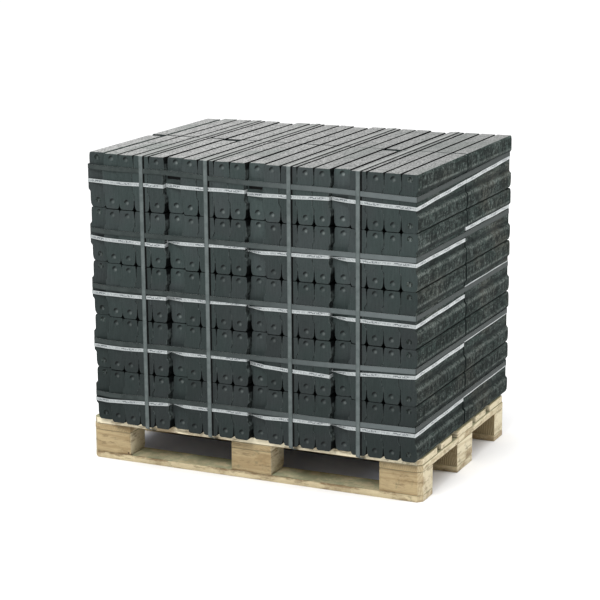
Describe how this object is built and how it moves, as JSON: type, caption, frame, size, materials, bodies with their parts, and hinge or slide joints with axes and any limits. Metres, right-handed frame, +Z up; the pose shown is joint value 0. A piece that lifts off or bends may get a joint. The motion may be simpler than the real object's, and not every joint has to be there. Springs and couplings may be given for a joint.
{
  "type": "loaded pallet of banded fuel briquettes",
  "caption": "Timber pallet stacked with banded bundles of dark pressed fuel briquettes, held by layer straps, white bundle tapes and upright straps.",
  "frame": {"origin": "on the floor, under the middle of the pallet", "axes": "+X to the right along the pallet's long side, +Y to the back, +Z up; -Y is the front seen in the picture"},
  "size_m": [1.2, 0.8808, 1.0602],
  "materials": {
    "pine": "rough sawn, weathered",
    "briquette": "pressed, dusty satin",
    "layer_strap": "satin",
    "bundle_tape": "satin film",
    "upright_strap": "satin"
  },
  "bodies": {
    "root": {"bottom_board_front": "pine", "bottom_board_middle": "pine", "bottom_board_rear": "pine", "block_front_left": "pine", "block_front_centre": "pine", "block_front_right": "pine", "block_middle_left": "pine", "block_middle_centre": "pine", "block_middle_right": "pine", "block_rear_left": "pine", "block_rear_centre": "pine", "block_rear_right": "pine", "stringer_board_left": "pine", "stringer_board_centre": "pine", "stringer_board_right": "pine", "deck_board_1": "pine", "deck_board_2": "pine", "deck_board_3": "pine", "deck_board_4": "pine", "deck_board_5": "pine", "briquette_layer_1": "briquette", "briquette_layer_2": "briquette", "briquette_layer_3": "briquette", "briquette_layer_4": "briquette", "briquette_layer_5": "briquette", "layer_strap_1": "layer_strap", "layer_strap_2": "layer_strap", "layer_strap_3": "layer_strap", "layer_strap_4": "layer_strap", "layer_strap_5": "layer_strap", "bundle_tapes_1": "bundle_tape", "bundle_tapes_2": "bundle_tape", "bundle_tapes_3": "bundle_tape", "bundle_tapes_4": "bundle_tape", "bundle_tapes_5": "bundle_tape", "upright_strap_1": "upright_strap", "upright_strap_2": "upright_strap", "upright_strap_3": "upright_strap", "upright_strap_4": "upright_strap"}
  },
  "joints": []
}
